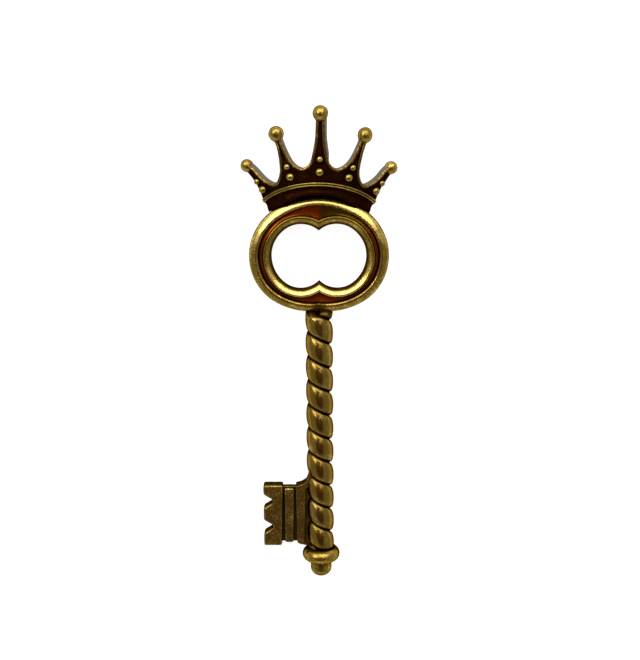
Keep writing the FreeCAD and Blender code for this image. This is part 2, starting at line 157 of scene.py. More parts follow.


# Cast brass with an antique finish: dark brown in the hollows, olive gold where hands rub it,
# a fine sand-cast speckle that shows as dark and bright points in the shine
# its bright stop also colours the painted highlights on the bow's beads
agedLook = {
    "recess": "#100805", "brown": "#483212", "rubbed": "#8A702C", "bright": "#E6C870",
    "steps": (0.15, 0.42, 0.82), "shadedWallFacing": 0.4, "wallShare": 0.4, "metallic": 1.0, "edgeTint": "#7E7868",
    # open metal stands this high on the ramp, a recess lower
    "openLevel": 0.8, "hollowSize": 1.1, "hollowSamples": 8,
    "cloudSize": 3.0, "cloudShare": 0.35, "cloudDetail": 3.0,
    "grainSize": 0.36, "grainShare": 0.7, "grainDetail": 2.0, "grainRough": 0.7,
    "roughDark": 0.45, "roughBright": 0.27,
    "gritSize": 0.3, "gritStrength": 0.4, "gritDepth": 0.03, "gritDetail": 2.0,
}
# The stem is burnished smoother and browner than the rest; its cream bright stop is the colour of the painted
# highlights on its upper shoulders
stemLook = dict(agedLook, rubbed="#866C2C", brown="#463012", bright="#F2E0A8", shadedWallFacing=0.5, wallShare=0.3,
                grainShare=0.26, cloudShare=0.22, roughBright=0.24, roughDark=0.4, gritStrength=0.08)
# The crown's field keeps nearly all its patina: near black brown with red, with little shine
darkLook = dict(agedLook, recess="#040100", brown="#160702", rubbed="#240E04", bright="#3E1C08",
                cloudShare=0.7, roughDark=0.6, roughBright=0.45)
# Pearls, studs and beads stand proud and are rubbed the brightest
rubbedLook = dict(agedLook, rubbed="#98803A", wallShare=0.42, grainShare=0.5, hollowSize=0.7,
                  roughBright=0.24)
# Rims keep their brown but for a thin rubbed line
rimLook = dict(agedLook, rubbed="#6C5020", brown="#3E280A", bright="#D0B264", steps=(0.15, 0.45, 0.8),
               wallShare=0.2, hollowSize=0.8, roughBright=0.24)
# Side walls of the crown were never rubbed: dull grey brown oxide without shine
wallLook = dict(agedLook, recess="#241E16", brown="#403A30", rubbed="#5A5246", bright="#6E6658",
                steps=(0.0, 0.3, 0.7), wallShare=0.0, roughDark=0.8, roughBright=0.7, metallic=0.0,
                edgeTint="#FFFFFF")
# The bow's channel is glossy, and its colour is a painted red brown reflection of the ceiling, painted olive
# on the top right, over its patina in the hollows
channelReflectionLook = dict(agedLook, recess="#2C1404", brown="#5C2C08", rubbed="#7C3A0A", bright="#8C460E",
                   steps=(0.0, 0.3, 0.75), wallShare=0.0, hollowSize=0.45, metallic=0.92,
                   roughDark=0.3, roughBright=0.24, cloudShare=0.6, grainShare=0.3, gritStrength=0.2,
                   rightReflectionTint="#4E3E0C", reflectionTintRange={"X": (-0.3, 0.8), "Y": (30, 33)})
# The bit's bars are handled less and stay browner and duller, and their side walls take more painted shade
bitLook = dict(agedLook, rubbed="#7A642C", brown="#4A3816", cloudShare=0.3, shadedWallFacing=0.75, wallShare=0.36,
               roughBright=0.36, roughDark=0.5)

agedBrass = castBrass("cast brass aged and rubbed", agedLook)
stemBrass = castBrass("cast brass burnished", stemLook)
darkBrass = castBrass("cast brass dark patina", darkLook)
rubbedBrass = castBrass("cast brass rubbed bright", rubbedLook)
rimBrass = castBrass("cast brass rims half rubbed", rimLook)
wallBrass = castBrass("cast brass dull oxide", wallLook)
channelReflectionBrass = castBrass("cast brass painted red brown reflection", channelReflectionLook)
bitBrass = castBrass("cast brass bit browned", bitLook)

print("Camera, floor and light")

cameraShot = {"place": (0.00142, 0.073606, 0.30214), "turn": (-12.953, 0.243, -0.353),
              "focal": 1201.53, "frameHeight": 660}

cameraData = bpy.data.cameras.new("camera")
cameraData.sensor_fit = "VERTICAL"
cameraData.sensor_height = 36
cameraData.lens = cameraShot["focal"] / cameraShot["frameHeight"] * cameraData.sensor_height
cameraData.clip_start = 0.01
camera = bpy.data.objects.new("camera", cameraData)
scene.collection.objects.link(camera)
turnX, turnY, turnZ = (math.radians(a) for a in cameraShot["turn"])
camera.matrix_world = (Matrix.Translation(cameraShot["place"]) @ Matrix.Rotation(turnX, 4, "X")
                       @ Matrix.Rotation(turnY, 4, "Y") @ Matrix.Rotation(turnZ, 4, "Z"))
scene.camera = camera
scene.view_settings.view_transform = "Standard"

floorPlan = {"halfSize": 3.0, "colour": "#8C8C8C", "fill": 0.9}

bm = bmesh.new()
bmesh.ops.create_grid(bm, x_segments=2, y_segments=2, size=floorPlan["halfSize"])
floorMesh = bpy.data.meshes.new("floor")
bm.to_mesh(floorMesh)
bm.free()
floor = bpy.data.objects.new("floor", floorMesh)
scene.collection.objects.link(floor)
paper, tree, output = startMaterial("white paper floor")
ray = addNode(tree, "ShaderNodeLightPath")
seen = addNode(tree, "ShaderNodeMath", {"operation": "ADD"},
               {0: ray.outputs["Is Camera Ray"], 1: ray.outputs["Is Glossy Ray"]})
seen = addNode(tree, "ShaderNodeMath", {"operation": "ADD", "use_clamp": True},
               {0: seen.outputs[0], 1: ray.outputs["Is Transmission Ray"]})
glow = addNode(tree, "ShaderNodeMath", {"operation": "MULTIPLY", 1: floorPlan["fill"]}, {0: seen.outputs[0]})
lit = addNode(tree, "ShaderNodeBsdfDiffuse", {"Color": hexColour(floorPlan["colour"])})
shine = addNode(tree, "ShaderNodeEmission", {"Color": (1, 1, 1, 1)}, {"Strength": glow.outputs[0]})
both = addNode(tree, "ShaderNodeAddShader", {}, {0: lit.outputs[0], 1: shine.outputs[0]})
tree.links.new(both.outputs[0], output.inputs["Surface"])
floorMesh.materials.append(paper)

# Room: grey all round, with a red brown and black ceiling over the middle
roomPlan = {"centre": (-0.03, -0.12), "stretch": (1.0, 0.9),
            "rings": ((0.0, "#AA6C2C"), (0.2, "#8C5218"), (0.3, "#2E2008"), (0.42, "#443E32"),
                      (0.58, "#AEACA4"), (0.95, "#BCBCB6"))}
world = bpy.data.worlds.new("room")
scene.world = world
world.use_nodes = True
tree = world.node_tree
tree.nodes.clear()
output = tree.nodes.new("ShaderNodeOutputWorld")
direction = addNode(tree, "ShaderNodeTexCoord").outputs["Generated"]
cx, cy = roomPlan["centre"]
sx, sy = roomPlan["stretch"]
aside = addNode(tree, "ShaderNodeVectorMath",
                {"operation": "MULTIPLY_ADD", 1: (sx, sy, 0), 2: (-cx * sx, -cy * sy, 0)}, {0: direction})
offCentre = addNode(tree, "ShaderNodeVectorMath", {"operation": "LENGTH"}, {0: aside.outputs[0]})
stops = [(far, hexColour(tint)) for far, tint in roomPlan["rings"]]
sky = addNode(tree, "ShaderNodeValToRGB", {"stops": stops},
              {"Fac": offCentre.outputs["Value"]}).outputs["Color"]
# past the floor's edge the camera sees white
fromCamera = addNode(tree, "ShaderNodeLightPath").outputs["Is Camera Ray"]
sky = addNode(tree, "ShaderNodeMix", {"data_type": "RGBA", 7: (1, 1, 1, 1)},
              {0: fromCamera, 6: sky}).outputs[2]
background = addNode(tree, "ShaderNodeBackground", {"Strength": 1.0}, {"Color": sky})
tree.links.new(background.outputs[0], output.inputs["Surface"])


lampAim = Vector((0, 0.01, 0.005))


# a soft rectangle of light that looks at the key
def addLamp(name, lamp):
    data = bpy.data.lights.new(name, "AREA")
    data.shape = "RECTANGLE"
    data.size, data.size_y = lamp["size"]
    data.energy = lamp["power"]
    data.color = hexColour(lamp["colour"])[:3]
    thing = bpy.data.objects.new(name, data)
    scene.collection.objects.link(thing)
    thing.visible_camera = False
    place = Vector(lamp["place"])
    aim = (lampAim - place).to_track_quat("-Z", "Y").to_matrix().to_4x4()
    thing.matrix_world = Matrix.Translation(place) @ aim


lamps = {
    "far softbox": {"place": (0.0, 0.95, 0.85), "size": (2.4, 1.1), "power": 24.0, "colour": "#FFFFFF"},
    "near softbox": {"place": (-0.1, -0.95, 0.5), "size": (1.2, 0.3), "power": 0.7, "colour": "#FFFFFF"},
    "left strip": {"place": (-0.6, 0.35, 0.8), "size": (0.14, 0.6), "power": 2.6, "colour": "#FFFFFF"},
    "right strip": {"place": (0.3, 0.2, 1.0), "size": (0.04, 0.4), "power": 0.5, "colour": "#FFFFFF"},
}
for name, lamp in lamps.items():
    addLamp(name, lamp)


# closer points than this are one, in mm
weld = 0.004


# turns a mesh drawn in mm into a piece of the key
def finishPiece(name, bm, material, nodes, extra=(), sharp=40):
    bmesh.ops.scale(bm, vec=(mm, mm, mm), verts=bm.verts)
    mesh = bpy.data.meshes.new(name)
    bm.to_mesh(mesh)
    bm.free()
    for face in mesh.polygons:
        face.use_smooth = True
    mesh.set_sharp_from_angle(angle=math.radians(sharp))
    for skin in (material,) + tuple(extra):
        mesh.materials.append(skin)
    piece = bpy.data.objects.new(name, mesh)
    scene.collection.objects.link(piece)
    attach(piece, "root")
    if nodes:
        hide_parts(*nodes)
    return piece


# welds the seams and turns every face outwards
def closeUp(bm):
    bmesh.ops.remove_doubles(bm, verts=bm.verts, dist=weld)
    bmesh.ops.recalc_face_normals(bm, faces=bm.faces)


# a run of edges through points
def drawLine(bm, points):
    verts = [bm.verts.new(point) for point in points]
    return verts, [bm.edges.new(pair) for pair in zip(verts, verts[1:])]


# takes away what lies past a plane, on the side its normal points to
def cutAway(bm, spot, normal):
    bmesh.ops.bisect_plane(bm, geom=bm.verts[:] + bm.edges[:] + bm.faces[:], dist=0.0001,
                           plane_co=spot, plane_no=normal, clear_outer=True)


# closes open ends with flat faces
def capHoles(bm):
    rims = [edge for edge in bm.edges if edge.is_boundary]
    bmesh.ops.holes_fill(bm, edges=rims, sides=0)
    return rims


# 0 before the span and 1 past it, with a soft rise in it
def fade(value, span):
    share = min(max((value - span[0]) / (span[1] - span[0]), 0), 1)
    return share * share * (3 - 2 * share)


# rises over the first span and falls over the second
def between(value, spans):
    return fade(value, spans[0]) * (1 - fade(value, spans[1]))


print("Stem")

rope = {
    "radius": 3.5, "aside": -0.08, "pitch": 6.32, "firstGroove": 9.72, "shear": 0.11, "sink": 0.1,
    "upperBulge": 0.75, "upperPower": 2.3, "lowerBulge": 0.58, "lowerPower": 2.6,
    "notch": 0.36, "notchShare": 0.09, "pointsPerTurn": 34, "crowding": 0.7, "steps": 72, "turns": 13,
    "top": 12.0, "flatFrom": 8.7, "flatShare": 0.42, "narrowFrom": 10.3, "narrowShare": 0.5,
    # where patina, painted shade and painted highlights lie: spans across the stem and across a land are
    # shares of the radius and the pitch
    "leftShade": 0.55, "leftSpan": (0.1, 0.9), "leftShare": 0.2, "leftLeast": 0.02,
    "paintedHighlight": 0.75, "highlightSpans": ((0.03, 0.08), (0.16, 0.31)),
    "footPatina": 0.5, "footHeight": 0.8, "neckPatina": 0.3, "neckSpan": (8.7, 9.1), "neckSlope": 0.3,
}


# radius across one turn of the strand, 0 and 1 in the grooves, with a longer upper shoulder
def ropeRadius(share):
    off = 1 - 2 * share
    cut = max(0, 1 - (1 - abs(off)) / (2 * rope["notchShare"]))
    side = "upper" if off > 0 else "lower"
    return rope["radius"] - rope[side + "Bulge"] * abs(off) ** rope[side + "Power"] - rope["notch"] * cut


# places across one turn, crowded towards the grooves
def ropeShare(k):
    swing = math.cos(math.pi * k / rope["pointsPerTurn"])
    return 0.5 - 0.5 * math.copysign(abs(swing) ** rope["crowding"], swing)


# painted shade in the upper left corner of every land, patina at both ends of the stem,
# and a painted highlight on each upper shoulder
def stemPatinaShadeHighlight(spot):
    turn = math.atan2(spot.x, spot.z) / (2 * math.pi)
    share = ((rope["firstGroove"] - spot.y - rope["shear"] * spot.x) / rope["pitch"] - turn) % 1
    # painted shade in the upper left corner of each land, beside the groove
    left = fade(-spot.x / rope["radius"], rope["leftSpan"])
    corner = 1 - fade(share, (0, rope["leftShare"] * left + rope["leftLeast"]))
    # painted highlight along the upper shoulder of each land, which faces the far softbox
    paintedHighlight = between(share, rope["highlightSpans"]) * (1 - left)
    foot = 1 - fade(spot.y, (keyPlan["stemStart"], keyPlan["stemStart"] + rope["footHeight"]))
    patinaShadeHighlightValue = max(rope["leftShade"] * corner * left - rope["paintedHighlight"] * paintedHighlight, rope["footPatina"] * foot)
    neck = fade(spot.y + rope["neckSlope"] * spot.x, rope["neckSpan"])
    return patinaShadeHighlightValue * (1 - neck) + rope["neckPatina"] * neck


bm = bmesh.new()
strandTop = rope["firstGroove"] + 2 * rope["pitch"]
shares = [ropeShare(k) for k in range(rope["pointsPerTurn"] + 1)]
verts, edges = drawLine(bm, [(0, strandTop - share * rope["pitch"], ropeRadius(share)) for share in shares])
bmesh.ops.spin(bm, geom=verts + edges, cent=(0, 0, 0), axis=(0, 1, 0),
               dvec=(0, -rope["pitch"] / rope["steps"], 0), angle=2 * math.pi * rope["turns"],
               steps=rope["steps"] * rope["turns"])
bmesh.ops.remove_doubles(bm, verts=bm.verts, dist=weld)
for vert in bm.verts:
    vert.co.y -= rope["shear"] * vert.co.x
cutAway(bm, (0, rope["top"], 0), (0, 1, 0))
cutAway(bm, (0, keyPlan["stemStart"] - rope["sink"], 0), (0, -1, 0))
capHoles(bm)
patina = bm.verts.layers.float.new("patina")
for vert in bm.verts:
    vert[patina] = stemPatinaShadeHighlight(vert.co)
for vert in bm.verts:
    # the neck flattens to the bow's thickness and narrows under its bead
    y = vert.co.y
    vert.co.x *= 1 - rope["narrowShare"] * fade(y, (rope["narrowFrom"], rope["top"]))
    vert.co.z *= 1 - rope["flatShare"] * fade(y, (rope["flatFrom"], rope["narrowFrom"]))
bmesh.ops.translate(bm, vec=(rope["aside"], 0, keyPlan["stemHeight"]), verts=bm.verts)
closeUp(bm)
finishPiece("twisted_stem", bm, stemBrass, ["stem"], sharp=60)

print("Bow")

bowPlan = {
    # half length, half height and how round the ends are
    "ring": (17.5, 14.1, 0.92), "eye": (8.25, 7.25, 0.88), "eyeOffset": 4.6,
    # the casting is fuller at the ring's top and lower corners, and the eye tighter at its upper ones
    "topRise": 0.95, "topPower": 3, "lowCorners": 0.62, "eyeCorners": 0.45,
    # sections as out and up: the inner bead from the eye's edge, the outer one from its crease
    "innerBead": ((0, 0.35), (0.1, 0.72), (0.32, 1.12), (0.62, 1.44), (1.0, 1.68), (1.35, 1.87), (1.65, 1.97),
                  (1.88, 1.95), (2.08, 1.8), (2.22, 1.5), (2.3, 1.15)),
    "outerBead": ((-2.5, 0.8), (-2.46, 1.3), (-2.36, 1.78), (-2.2, 2.1), (-2.0, 2.26), (-1.75, 2.3),
                  (-1.4, 2.22), (-1.05, 2.07), (-0.7, 1.87), (-0.4, 1.6), (-0.17, 1.26), (-0.04, 0.88),
                  (0, 0.45)),
    "pieces": 3, "columns": 320,
    # the channel is a shallow cove that ends in a crease beside the outer bead
    "channel": 1.15, "channelShares": (0.1, 0.25, 0.4, 0.55, 0.7, 0.84, 0.95), "sag": 0.12,
    "crease": 0.8, "creasePower": 8, "creaseReach": -2,
    # the outer bead dips a little above the neck
    "gapHalf": 0.2, "gapWiden": 0.5, "gapEdge": 0.7, "gapShare": 0.15,
    # where painted shade, patina and painted highlights lie, across the beads and beside the neck
    "stripShade": 0.42, "stripSpan": (0.37, 0.77), "edgeShade": 0.2,
    "shoulderDarkening": 0.15, "shoulderFrom": 1.6, "neckPatina": 0.34, "neckSpan": (0.8, 2.8),
    "paintedHighlight": 0.3, "innerHighlight": ((0.7, 1.1), (1.8, 2.1)), "outerHighlight": ((-2.0, -1.6), (-0.45, -0.05)),
}
softPower = 0.8


# a soft line through points, as many short runs
def softLine(points, pieces):
    points = [2 * points[0] - points[1]] + points + [2 * points[-1] - points[-2]]
    run = []
    for p0, p1, p2, p3 in zip(points, points[1:], points[2:], points[3:]):
        t1 = (p1 - p0).length ** softPower
        t2 = t1 + (p2 - p1).length ** softPower
        t3 = t2 + (p3 - p2).length ** softPower
        for step in range(pieces):
            t = t1 + (t2 - t1) * step / pieces
            a1 = p0.lerp(p1, t / t1)
            a2 = p1.lerp(p2, (t - t1) / (t2 - t1))
            a3 = p2.lerp(p3, (t - t2) / (t3 - t2))
            run.append(a1.lerp(a2, t / t2).lerp(a2.lerp(a3, (t - t1) / (t3 - t1)), (t - t1) / (t2 - t1)))
    run.append(points[-2])
    return run


# centre, radius, middle direction and half sweep of the four arcs of an oval
def ovalArcs(longHalf, shortHalf, endShare, grow):
    endRadius = endShare * shortHalf
    reach = longHalf - endRadius
    rise = shortHalf - endRadius
    drop = (reach ** 2 - rise ** 2) / (2 * rise)
    lean = math.atan2(drop, reach)
    end = endRadius + grow
    flat = shortHalf + drop + grow
    up = math.pi / 2
    return [(reach, 0, end, 0, lean), (-reach, 0, end, math.pi, lean),
            (0, -drop, flat, up, up - lean), (0, drop, flat, -up, up - lean)]


# how far a ray from the bow's middle runs until it meets the oval
def rayReach(arcs, turn):
    for x, y, radius, middle, half in arcs:
        along = x * math.cos(turn) + y * math.sin(turn)
        far = along + math.sqrt(max(0, radius ** 2 - x * x - y * y + along ** 2))
        way = math.atan2(far * math.sin(turn) - y, far * math.cos(turn) - x)
        if abs(math.remainder(way - middle, 2 * math.pi)) <= half + 0.0001:
            return far
    return 0


def ringReach(turn, grow):
    return rayReach(ovalArcs(*bowPlan["ring"], grow), turn)


# the eye is two upright ovals side by side
def eyeReach(turn, grow):
    reach = 0
    for side in (1, -1):
        arcs = [(side * bowPlan["eyeOffset"] - y, x, radius, middle + math.pi / 2, half)
                for x, y, radius, middle, half in ovalArcs(*bowPlan["eye"], grow)]
        reach = max(reach, rayReach(arcs, turn))
    return reach


# from the eye's wall over both beads to the outside: which oval, how far out, how high,
# how much painted shade, and how much painted highlight the side toward the far light gets
def bowStations():
    strip = bowPlan["stripShade"]
    stations = [("eye", 0, 0, strip, 0)]
    for spot in softLine([Vector(point) for point in bowPlan["innerBead"]], bowPlan["pieces"]):
        # painted shade on the eye's wall, and a painted highlight across the inner bead
        dull = strip * (1 - fade(spot.x, bowPlan["stripSpan"]))
        stations.append(("eye", spot.x, spot.y, dull, -between(spot.x, bowPlan["innerHighlight"])))
    stations += [("channel", share, 0, 0, 0) for share in bowPlan["channelShares"]]
    for spot in softLine([Vector(point) for point in bowPlan["outerBead"]], bowPlan["pieces"]):
        stations.append(("ring", spot.x, spot.y, 0, between(spot.x, bowPlan["outerHighlight"])))
    # painted shade along the ring's outer edge
    stations.append(("ring", 0, 0, bowPlan["edgeShade"], 0))
    return stations


def bowSpot(turn, station):
    kind, out, height = station[:3]
    foot = bowPlan["outerBead"][0][0]
    upper, lower = max(0, math.sin(turn)), max(0, -math.sin(turn))
    corner = abs(math.sin(2 * turn))
    tight = bowPlan["eyeCorners"] * upper * corner
    full = bowPlan["topRise"] * upper ** bowPlan["topPower"] + bowPlan["lowCorners"] * lower * corner
    # the crease fades out at the top and at the bottom
    edge = bowPlan["channel"] - (bowPlan["channel"] - bowPlan["crease"]) * abs(math.cos(turn))
    if kind == "eye":
        reach = eyeReach(turn, out) - tight
    elif kind == "ring":
        reach = ringReach(turn, out) + full
        height = max(height, edge) if out < bowPlan["creaseReach"] else height
        if lower:
            gap = bowPlan["gapHalf"] + bowPlan["gapWiden"] * (1 - out / foot)
            aside = abs(reach * math.cos(turn))
            dip = bowPlan["gapShare"] * (1 - fade(aside, (gap, gap + bowPlan["gapEdge"])))
            height -= max(0, height - bowPlan["channel"]) * dip
    else:
        near = eyeReach(turn, bowPlan["innerBead"][-1][0]) - tight
        far = ringReach(turn, foot) + full
        reach = near + (far - near) * out
        height = (bowPlan["channel"] - bowPlan["sag"] * math.sin(math.pi * out)
                  - (bowPlan["channel"] - edge) * out ** bowPlan["creasePower"])
    return Vector((reach * math.cos(turn), keyPlan["bowMiddle"] + reach * math.sin(turn), height))


# painted tone of a spot: painted highlights on the outer bead's top and the inner bead's bottom, patina
# beside the neck, and darker on the inner bead's upper shoulder, more towards the top
def bowPatinaShadeHighlight(turn, station):
    kind, out, height, dull, highlightShare = station
    if kind == "ring" and math.sin(turn) < 0:
        aside = abs(bowPlan["ring"][1] * math.cos(turn))
        dull += bowPlan["neckPatina"] * (1 - fade(aside, bowPlan["neckSpan"]))
    if kind == "eye" and out > bowPlan["shoulderFrom"]:
        dull += bowPlan["shoulderDarkening"] * max(0, math.sin(turn))
    return dull - bowPlan["paintedHighlight"] * max(0, highlightShare * math.sin(turn))


bm = bmesh.new()
patina = bm.verts.layers.float.new("patina")
ring = bmesh.ops.create_circle(bm, segments=bowPlan["columns"], radius=1)["verts"]
line = bm.edges[:]
stations = bowStations()
for vert in ring:
    turn = math.atan2(vert.co.y, vert.co.x)
    vert.co = bowSpot(turn, stations[0])
    vert[patina] = bowPatinaShadeHighlight(turn, stations[0])
for station, last in zip(stations[1:], stations):
    grown = bmesh.ops.extrude_edge_only(bm, edges=line)["geom"]
    line = [part for part in grown if isinstance(part, bmesh.types.BMEdge)]
    for part in grown:
        if isinstance(part, bmesh.types.BMVert):
            turn = math.atan2(part.co.y - keyPlan["bowMiddle"], part.co.x)
            part.co = bowSpot(turn, station)
            part[patina] = bowPatinaShadeHighlight(turn, station)
        elif isinstance(part, bmesh.types.BMFace):
            part.material_index = 1 if "channel" in (station[0], last[0]) else 0
bmesh.ops.mirror(bm, geom=bm.verts[:] + bm.edges[:] + bm.faces[:], merge_dist=weld, axis="Z")
closeUp(bm)
bmesh.ops.translate(bm, vec=(0, 0, keyPlan["stemHeight"]), verts=bm.verts)
finishPiece("oval_bow", bm, agedBrass, ["bow"], extra=(channelReflectionBrass,), sharp=35)

print("Crown")

crownPlan = {
    "radius": 16.0, "wall": 1.22, "wallShown": 1.5, "wallFrom": 0.8, "flare": 39.0, "halfAngle": 59.5,
    # the middle, inner and outer spikes; the outer pearls touch the floor
    "rootAngles": (0, 22.9, 51.3), "tipAngles": (0, 26.5, 56.8), "heights": (17.0, 13.4, 9.7),
    "outerPearlHeight": 1.63,
    "valleyAngles": (13.6, 39.1), "valleyHeights": (4.1, 2.15),
    # half widths of a spike from its tip down to the valley, as height and mm from its middle line
    "flanks": {
        (0, 1): ((17.0, 1.1), (13.9, 1.12), (11.0, 1.23), (9.1, 1.5), (7.2, 1.85), (6.0, 2.12), (5.2, 2.45),
                 (4.5, 3.1)),
        (1, -1): ((13.4, 0.9), (10.6, 0.88), (8.6, 1.0), (7.2, 1.2), (6.2, 1.45), (5.35, 1.85), (4.7, 2.4),
                  (4.25, 3.1)),
        (1, 1): ((13.4, 0.9), (10.4, 0.92), (8.9, 1.1), (7.45, 1.38), (6.0, 1.76), (4.65, 2.2), (3.6, 2.78),
                 (2.8, 3.45), (2.35, 4.05)),
        (2, -1): ((9.7, 1.25), (7.9, 1.72), (6.5, 1.84), (5.3, 1.96), (4.15, 2.25), (3.15, 2.78),
                  (2.5, 3.35)),
    },
    # the crown's ends, as shares of the outer spike's height and of the half angle
    "endShares": ((0.0, 1.0), (0.22, 0.965), (0.40, 0.95), (0.60, 0.953), (0.80, 0.97)), "tipHalfWidth": 1.12,
    "rimSteps": (0, 0.05, 0.14, 0.27, 0.42, 0.56, 0.68, 0.77), "rimHeight": 0.36,
    "pieces": 24, "rows": 40, "innerColumns": 10, "bandRows": 9,
    # the band below the moulding, as rise and stand from its step down to its lip, which follows the ring
    "bandSection": ((-0.6, 0), (-0.72, -0.2), (-1.1, -0.22), (-1.5, -0.08), (-1.85, 0.0), (-2.1, -0.12)),
    "bandEnd": 59.2, "bandWiden": 3.0, "lipGap": 0.6, "lipTaper": 46.0,
    # it sits a little askew on the bow, its inner right spike leans out, its right end is drawn in
    # and the middle spike's back stands to the right
    "turn": -1.2, "shift": -0.13, "rightLean": 0.3, "leanSpans": ((3, 7), (11, 15)), "leanRise": (44, 50),
    "endDraw": 0.36, "drawSpan": (14, 17), "drawRise": (42.4, 44.8),
    "backLean": 0.55, "backRise": (4, 8), "backSpan": (5, 10),
}
flareSin = math.sin(math.radians(crownPlan["flare"]))
flareCos = math.cos(math.radians(crownPlan["flare"]))
crownAxis = Vector((0, flareCos, -flareSin))
rimSteps = crownPlan["rimSteps"]
rimCount = len(rimSteps) - 1
innerCount = crownPlan["innerColumns"]


def outward(angle):
    turn = math.radians(angle)
    return Vector((math.sin(turn), math.cos(turn) * flareSin, math.cos(turn) * flareCos))


def faceNormal(angle):
    return outward(angle) * flareCos - crownAxis * flareSin


def crownOffset(angle, rise, stand):
    return (crownAxis * (rise * flareCos) + outward(angle) * (crownPlan["radius"] + rise * flareSin)
            + faceNormal(angle) * stand)


outerTip = crownOffset(crownPlan["tipAngles"][2], crownPlan["heights"][2], -crownPlan["wall"] / 2)
crownCentre = Vector((0, keyPlan["mouldingFront"] - crownOffset(0, 0, 0).y,
                      crownPlan["outerPearlHeight"] - outerTip.z))


def crownSpot(angle, rise, stand=0):
    return crownCentre + crownOffset(angle, rise, stand)


# puts a piece of the crown askew on the bow, as the photographed casting has it
def setCrown(bm):
    bmesh.ops.rotate(bm, cent=(0, keyPlan["bowMiddle"], 0), verts=bm.verts,
                     matrix=Matrix.Rotation(math.radians(crownPlan["turn"]), 3, "Z"))
    bmesh.ops.translate(bm, vec=(crownPlan["shift"], 0, 0), verts=bm.verts)
    for vert in bm.verts:
        x, y = vert.co.x, vert.co.y
        lean = crownPlan["rightLean"] * between(x, crownPlan["leanSpans"]) * fade(y, crownPlan["leanRise"])
        draw = crownPlan["endDraw"] * fade(x, crownPlan["drawSpan"]) * fade(y, crownPlan["drawRise"])
        vert.co.x += lean - draw


def spikeAngle(number, rise):
    root, tip = crownPlan["rootAngles"][number], crownPlan["tipAngles"][number]
    return root + (tip - root) * rise / crownPlan["heights"][number]


def halfTurn(width, rise):
    return math.degrees(width / (crownPlan["radius"] + rise * flareSin))


# edge of a spike from its tip down to the valley beside it, as angle and rise
def flankPoints(number, side):
    return [(spikeAngle(number, rise) + side * halfTurn(half, rise), rise)
            for rise, half in crownPlan["flanks"][number, side]]


# angle and rise as mm across and up, as if the face were rolled out
def flatSpot(point):
    return Vector((math.radians(point[0]) * (crownPlan["radius"] + point[1] * flareSin), point[1]))


# a soft line through places on the face
def smoothRun(points):
    flat = softLine([flatSpot(point) for point in points], crownPlan["pieces"])
    return [(halfTurn(spot.x, spot.y), spot.y) for spot in flat]


# from a to b on the face, in mm across and up
def faceStep(a, b):
    across = math.radians(b[0] - a[0]) * (crownPlan["radius"] + 0.5 * (a[1] + b[1]) * flareSin)
    return Vector((across, b[1] - a[1]))


def mixSpot(a, b, share):
    return (a[0] + (b[0] - a[0]) * share, a[1] + (b[1] - a[1]) * share)


# the same line in equal lengths, with the way into the metal at each point
def evenRun(run, count):
    lengths = [0]
    for a, b in zip(run, run[1:]):
        lengths.append(lengths[-1] + faceStep(a, b).length)
    spots = []
    k = 0
    for step in range(count + 1):
        goal = lengths[-1] * step / count
        while k < len(run) - 2 and lengths[k + 1] < goal:
            k += 1
        share = (goal - lengths[k]) / (lengths[k + 1] - lengths[k])
        way = faceStep(run[max(k - 1, 0)], run[min(k + 2, len(run) - 1)]).normalized()
        spots.append((mixSpot(run[k], run[k + 1], share), Vector((way.y, -way.x))))
    return spots


# a point of an edge moved into the metal
def insetSpot(spot, depth):
    (angle, rise), way = spot
    return (angle + halfTurn(way.x * depth, rise), rise + way.y * depth)


# both sides of a valley from its floor up
def valleyRuns(number):
    bottom = (crownPlan["valleyAngles"][number], crownPlan["valleyHeights"][number])
    down = flankPoints(number, 1)
    up = flankPoints(number + 1, -1)
    run = smoothRun(down + [bottom] + list(reversed(up)))
    lowest = len(down) * crownPlan["pieces"]
    left = evenRun(run[:lowest + 1], crownPlan["rows"])
    right = evenRun(run[lowest:], crownPlan["rows"])
    # both sides share the floor's own way into the metal
    way = faceStep(run[lowest - 2], run[lowest + 2]).normalized()
    floorSpot = (bottom, Vector((way.y, -way.x)))
    return list(reversed(left[:-1] + [floorSpot])), [floorSpot] + right[1:]


# the crown's end from the moulding up the back of the outer spike
def endRun():
    height = crownPlan["heights"][2]
    tip = (crownPlan["tipAngles"][2] + halfTurn(crownPlan["tipHalfWidth"], height), height)
    points = [tip]
    for rise, turn in reversed(crownPlan["endShares"]):
        points.append((crownPlan["halfAngle"] * turn, height * rise))
    return list(reversed(evenRun(smoothRun(points), crownPlan["rows"])))


# how much further down the band's lip runs at this angle, to follow the ring under it
def lipDrop(angle):
    gap = crownPlan["lipGap"] * (1 - fade(angle, (0, crownPlan["lipTaper"])))
    less, more = 0, 4
    for step in range(16):
        drop = (less + more) / 2
        lip = crownSpot(angle, crownPlan["bandSection"][-1][0] - drop) - Vector((0, keyPlan["bowMiddle"], 0))
        turn = math.atan2(lip.y, lip.x)
        reach = ringReach(turn, 0) + bowPlan["topRise"] * math.sin(turn) ** bowPlan["topPower"]
        if math.hypot(lip.x, lip.y) > reach + gap:
            less = drop
        else:
            more = drop
    return drop


def rimStand(depth):
    half = rimSteps[-1] / 2
    return crownPlan["rimHeight"] * math.sqrt(max(0, 1 - ((depth - half) / half) ** 2))


